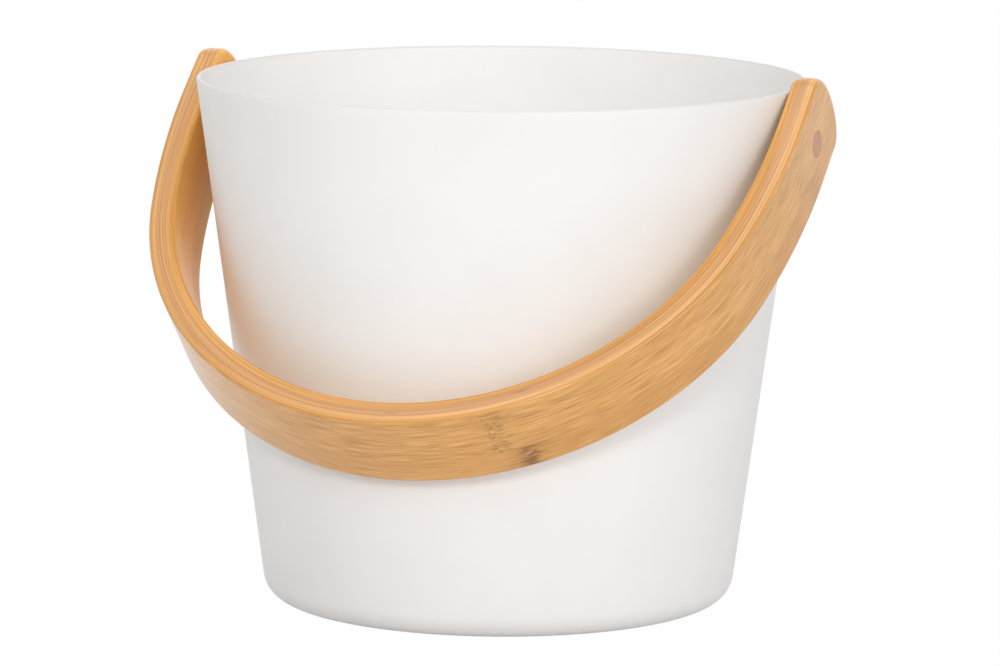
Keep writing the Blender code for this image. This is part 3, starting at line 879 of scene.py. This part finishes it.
def turned_surface(profile, facing, columns, limit=None):
    """A profile of (radius, distance from the bucket's axis) points turned about the pivot's axis.

    The profile starts and ends on the axis. A limit gives the most that the radius may be at each angle, so
    that a hexagon cuts the round blank.
    """
    turn = np.arange(columns) * 2 * pi / columns
    radius = np.broadcast_to(profile[1:-1, :1], (len(profile) - 2, columns))
    if limit is not None:
        radius = np.minimum(radius, limit(turn))
    out = np.broadcast_to(profile[1:-1, 1:], radius.shape)
    points = np.stack([facing * out, radius * np.sin(turn), PIVOT_HEIGHT + radius * np.cos(turn)], -1)
    poles = [[facing * profile[end, 1], 0, PIVOT_HEIGHT] for end in (0, -1)]
    numbers = np.arange(radius.size).reshape(radius.shape)
    faces = [grid_faces(around(numbers))]
    faces += [fans(numbers[0], radius.size), fans(numbers[-1], radius.size + 1)]
    return np.concatenate([points.reshape(-1, 3), poles]), faces


FITTING_COLUMNS = 96
EASE_STEPS = 4
DOME_STEPS = 12
CHAMFER_STEPS = 8


def plug_profile(fittings):
    """Half section of a dowel plug, with its outer edge eased."""
    radius = fittings.plug_diameter / 2
    outer = EAR_OUTER
    inner = outer - fittings.plug_length
    ease = fittings.ease / 2
    turn = quarter(EASE_STEPS)
    edge = np.stack([radius - ease * (1 - np.sin(turn)), outer - ease * (1 - np.cos(turn))], -1)
    return np.concatenate([[[0, outer], [radius / 2, outer]], edge, [[radius, inner], [0, inner]]])


def nut_profile(fittings):
    """Half section of the domed nut's blank, from the floor of its bore round to the tip of the dome."""
    corner = fittings.nut_width / 2 / cos(pi / 6)
    chamfer = corner - fittings.nut_width / 2
    bore = fittings.bore / 2
    floor = NUT_OUTER - fittings.nut_bore
    shoulder = NUT_OUTER - fittings.nut_hexagon
    dome = fittings.nut_dome / 2
    turn = quarter(DOME_STEPS)
    tip = shoulder - NUT_TIP
    cap = np.stack([dome * np.cos(turn), shoulder - tip * np.sin(turn)], -1)
    slope = np.linspace(0, 1, CHAMFER_STEPS + 1)[:, None]
    top = np.array([[corner - chamfer, NUT_OUTER]]) + slope * np.array([[chamfer, -chamfer / 2]])
    low = np.array([[corner, shoulder + chamfer / 2]]) + slope * np.array([[-chamfer, -chamfer / 2]])
    mouth = [[0, floor], [bore, floor], [bore, NUT_OUTER]]
    return np.concatenate([mouth, top, low, cap])


def hexagon_radius(width, turn):
    """Radius of a hexagon with a flat upwards, given its width across the flats."""
    from_flat = (turn + pi / 6) % (pi / 3) - pi / 6
    return width / 2 / np.cos(from_flat)


def wedge_surface(shell, fittings, facing, diameter, flat, outside):
    """A ring round the bolt between a flat seat and the sloping wall.

    A point at radius p and angle a lies at y = p sin a and z = pivot + p cos a. Its distance from the
    bucket's axis counts from the flat seat at one end, and from the wall, sqrt(r(z)^2 - y^2), at the other.
    """
    ease = fittings.ease
    outer = diameter / 2
    inner = fittings.bore / 2
    turn = quarter(EASE_STEPS)
    edge = np.stack([outer - ease * (1 - np.sin(turn)), ease * (1 - np.cos(turn))], -1)
    flat_end = np.concatenate([[[inner, 0]], edge])
    radius = np.concatenate([flat_end[:, 0], flat_end[::-1, 0]])[:, None]
    from_end = np.concatenate([flat_end[:, 1], flat_end[::-1, 1]])[:, None]
    at_flat = (np.arange(len(radius)) < len(flat_end))[:, None]
    angles = np.arange(FITTING_COLUMNS) * 2 * pi / FITTING_COLUMNS
    y = radius * np.sin(angles)
    z = PIVOT_HEIGHT + radius * np.cos(angles)
    sign = 1 if outside else -1
    wall = wall_radius(shell, z, 0.0 if outside else shell.wall)
    seat = np.sqrt(wall ** 2 - y ** 2) + sign * (SEAT_GAP + from_end)
    out = np.where(at_flat, flat - sign * from_end, seat)
    numbers = np.arange(y.size).reshape(y.shape)
    closed = np.concatenate([numbers, numbers[:1]])
    return np.stack([facing * out, y, z], -1).reshape(-1, 3), [grid_faces(around(closed))]


# Lamps: turn from the front to the right and height, both in degrees, and the square's side in metres
LAMPS = {
    "key": (16, 22, 0.75),
    "right": (52, 18, 2.0),
    "top": (-15, 74, 2.0),
    "gleam": (-76, 70, 0.9),
    "back": (-170, 60, 3.2),
}
LAMP_DISTANCE = 4.0
SENSOR_WIDTH = 36
FLOOR_REACH = 5.0
FLOOR_DROP = 0.0002   # how far the floor lies below the base
FLOOR_GREY = (0.75, 0.75, 0.75)
WHITE = (1.0, 1.0, 1.0)


def seen_directly(tree):
    """1 for camera, mirror and glass rays, which see the plain white surroundings, and 0 for the rest."""
    path = tree.nodes.new("ShaderNodeLightPath")
    total = path.outputs["Is Camera Ray"]
    for name in ("Is Glossy Ray", "Is Transmission Ray"):
        larger = tree.nodes.new("ShaderNodeMath")
        larger.operation = "MAXIMUM"
        tree.links.new(total, larger.inputs[0])
        tree.links.new(path.outputs[name], larger.inputs[1])
        total = larger.outputs[0]
    return total


class BUCKET_OT_stage(bpy.types.Operator):
    """Set up the floor, the lamps, the white surroundings and the camera"""

    bl_idname = "sauna_bucket.stage"
    bl_label = "Stage"

    def execute(self, context):
        settings = context.scene.bucket_stage
        self.add_camera(context, settings)
        self.add_floor(context, settings)
        self.light_world(context, settings)
        for name, (turn, elevation, size) in LAMPS.items():
            power = getattr(settings, name + "_power")
            self.add_lamp(context, name + "_lamp", radians(turn), radians(elevation), size, power)
        context.scene.view_settings.view_transform = "Standard"
        return {"FINISHED"}

    def add_camera(self, context, settings):
        """Place the camera by its distance and turn, then pitch and roll it."""
        data = bpy.data.cameras.new("camera")
        data.sensor_fit = "HORIZONTAL"
        data.sensor_width = SENSOR_WIDTH
        data.lens = settings.lens
        camera = bpy.data.objects.new("camera", data)
        context.scene.collection.objects.link(camera)
        turn = settings.camera_turn
        distance = settings.camera_distance
        height = settings.camera_height
        place = Matrix.Translation((distance * sin(turn), -distance * cos(turn), height))
        aim = Matrix.Rotation(turn, 4, "Z") @ Matrix.Rotation(pi / 2 + settings.camera_pitch, 4, "X")
        camera.matrix_world = place @ aim @ Matrix.Rotation(settings.camera_roll, 4, "Z")
        context.scene.camera = camera

    def add_floor(self, context, settings):
        """Lay a pale floor that is seen as nearly plain white and still takes the shadow."""
        square = ((-1, -1), (1, -1), (1, 1), (-1, 1))
        corners = [(x * FLOOR_REACH, y * FLOOR_REACH, -FLOOR_DROP) for x, y in square]
        mesh = bpy.data.meshes.new("floor")
        mesh.from_pydata(corners, [], [(0, 1, 2, 3)])
        floor = bpy.data.objects.new("floor", mesh)
        context.scene.collection.objects.link(floor)
        finish = Finish("pale_floor")
        paper = finish.node("BsdfDiffuse", FLOOR_GREY)
        white = finish.node("Emission", WHITE, 1.0)
        seen = finish.times(seen_directly(finish.tree), settings.floor_white)
        both = finish.node("MixShader", seen, paper.outputs[0], white.outputs[0])
        output = finish.tree.nodes["Material Output"]
        finish.put(output.inputs["Surface"], both.outputs[0])
        finish.tree.nodes.remove(finish.surface)
        mesh.materials.append(finish.material)

    def light_world(self, context, settings):
        """Light the scene evenly from all round, and show plain white where the world itself is seen."""
        world = bpy.data.worlds.new("white_studio")
        world.use_nodes = True
        context.scene.world = world
        tree = world.node_tree
        background = tree.nodes["Background"]
        background.inputs["Color"].default_value = (*WHITE, 1.0)
        strength = tree.nodes.new("ShaderNodeMapRange")
        tree.links.new(seen_directly(tree), strength.inputs["Value"])
        strength.inputs["To Min"].default_value = settings.ambient
        strength.inputs["To Max"].default_value = 1.0
        tree.links.new(strength.outputs[0], background.inputs["Strength"])

    def add_lamp(self, context, name, turn, elevation, size, power):
        """Hang a square lamp in a direction from the bucket's middle, and aim it there."""
        data = bpy.data.lights.new(name, "AREA")
        data.shape = "SQUARE"
        data.size = size
        data.energy = power
        lamp = bpy.data.objects.new(name, data)
        lamp.visible_camera = False
        context.scene.collection.objects.link(lamp)
        away = Vector((sin(turn) * cos(elevation), -cos(turn) * cos(elevation), sin(elevation)))
        middle = Vector((0, 0, PIVOT_HEIGHT / 2))
        lamp.location = middle + LAMP_DISTANCE * away
        lamp.rotation_euler = away.to_track_quat("Z", "Y").to_euler()


class BUCKET_OT_shell(bpy.types.Operator):
    """Make the lacquered shell with its rounded foot, plain rim and bolt holes"""

    bl_idname = "sauna_bucket.shell"
    bl_label = "Lacquered shell"

    def execute(self, context):
        scene = context.scene
        points, faces = shell_surface(scene.bucket_shell)
        finish = lacquer_finish(scene.bucket_finishes, scene.bucket_shell)
        add_piece("lacquered_shell", points, faces, finish, "bucket", ["bucket_shell"])
        return {"FINISHED"}


class BUCKET_OT_bail(bpy.types.Operator):
    """Make the three glued strips of the bail"""

    bl_idname = "sauna_bucket.bail"
    bl_label = "Bamboo bail"

    def execute(self, context):
        scene = context.scene
        bail, finishes = scene.bucket_bail, scene.bucket_finishes
        line = BailLine(bail)
        half_seam = bail.seam / 2
        clear = {"coat": 0.8, "pale": finishes.bamboo_pale, "tan": finishes.bamboo_tan}
        strips = (
            ("inner", "bamboo_light", 0.0, bail.strip - half_seam, bail.bush_hole,
             StripLook(seed=1, coat=0.3, node_run=0.115, pale=finishes.inner_pale, tan=finishes.inner_tan,
                       edge_tone=0.10, bleached=0.85)),
            ("middle", "bamboo_tan", bail.strip + half_seam, 2 * bail.strip - half_seam, bail.head_hole,
             StripLook(seed=2, node_run=0.060, edge_tone=-0.20, marks=EDGE_MARKS, **clear)),
            ("outer", "bamboo_light", 2 * bail.strip + half_seam, BAIL_THICKNESS, bail.plug_hole,
             StripLook(seed=3, node_run=0.1715, edge_tone=0.10, marks=FACE_MARKS, **clear)),
        )
        for place, slot, bottom, top, hole, look in strips:
            points, faces, grain = strip_surface(line, bottom, top, hole)
            finish = bamboo_finish(place + "_bamboo", finishes, bail, look)
            add_piece(place + "_bamboo_strip", points, faces, finish, "handle",
                      ["handle_" + place + "_lamella"], grain)
        return {"FINISHED"}


class BUCKET_OT_plugs(bpy.types.Operator):
    """Make the dowel plugs that cover the pivot bolts"""

    bl_idname = "sauna_bucket.plugs"
    bl_label = "Dowel plugs"

    def execute(self, context):
        fittings = context.scene.bucket_fittings
        finish = plug_finish(context.scene.bucket_finishes)
        for side, facing in SIDES:
            points, faces = turned_surface(plug_profile(fittings), facing, FITTING_COLUMNS)
            add_piece("plug_" + side, points, faces, finish, "handle", ["dowel_plug_" + side])
        return {"FINISHED"}


class BUCKET_OT_fittings(bpy.types.Operator):
    """Make the wedge washers and domed nuts, and finish the bolts and bushes"""

    bl_idname = "sauna_bucket.fittings"
    bl_label = "Pivot fittings"

    def execute(self, context):
        scene = context.scene
        shell, fittings = scene.bucket_shell, scene.bucket_fittings
        steel = steel_finish(scene.bucket_finishes)
        nylon = nylon_finish(scene.bucket_finishes)
        wedges = (("spacer", "wall_spacer_", fittings.spacer_diameter, EAR_INNER - SEAT_GAP, True),
                  ("washer", "inner_washer_", fittings.washer_diameter, WASHER_INNER, False))
        for side, facing in SIDES:
            for name, node, diameter, flat, outside in wedges:
                points, faces = wedge_surface(shell, fittings, facing, diameter, flat, outside)
                add_piece(name + "_" + side, points, faces, nylon, "bucket", [node + side])
            points, faces = turned_surface(nut_profile(fittings), facing, 2 * FITTING_COLUMNS,
                                           lambda turn: hexagon_radius(fittings.nut_width, turn))
            add_piece("domed_nut_" + side, points, faces, steel, "bucket",
                      ["cap_nut_" + side])
            for node in ("pivot_bolt_", "pivot_bush_"):
                frame["nodes"][node + side].material_slots[0].material = steel
        return {"FINISHED"}


class BUCKET_PT_panel(bpy.types.Panel):
    """Sizes, colours and steps of the bucket"""

    bl_idname = "BUCKET_PT_panel"
    bl_label = "Sauna bucket"
    bl_space_type = "VIEW_3D"
    bl_region_type = "UI"
    bl_category = "Bucket"

    def draw(self, context):
        for step in STEPS:
            self.layout.operator(step.bl_idname)
        for name in GROUPS:
            box = self.layout.box()
            group = getattr(context.scene, name)
            for field in group.bl_rna.properties:
                if not field.is_readonly and field.identifier != "name":
                    box.prop(group, field.identifier)


STEPS = (BUCKET_OT_stage, BUCKET_OT_shell, BUCKET_OT_bail, BUCKET_OT_plugs, BUCKET_OT_fittings)
GROUPS = {
    "bucket_shell": ShellSizes,
    "bucket_bail": BailSizes,
    "bucket_fittings": FittingSizes,
    "bucket_finishes": Finishes,
    "bucket_stage": StageSettings,
}


def register():
    for group in GROUPS.values():
        bpy.utils.register_class(group)
    for name, group in GROUPS.items():
        setattr(bpy.types.Scene, name, PointerProperty(type=group))
    for step in (*STEPS, BUCKET_PT_panel):
        bpy.utils.register_class(step)


def unregister():
    for step in (BUCKET_PT_panel, *reversed(STEPS)):
        bpy.utils.unregister_class(step)
    for name in GROUPS:
        delattr(bpy.types.Scene, name)
    for group in GROUPS.values():
        bpy.utils.unregister_class(group)


def main():
    register()
    bpy.ops.sauna_bucket.stage()
    bpy.ops.sauna_bucket.shell()
    bpy.ops.sauna_bucket.bail()
    bpy.ops.sauna_bucket.plugs()
    bpy.ops.sauna_bucket.fittings()


if __name__ == "__main__":
    main()
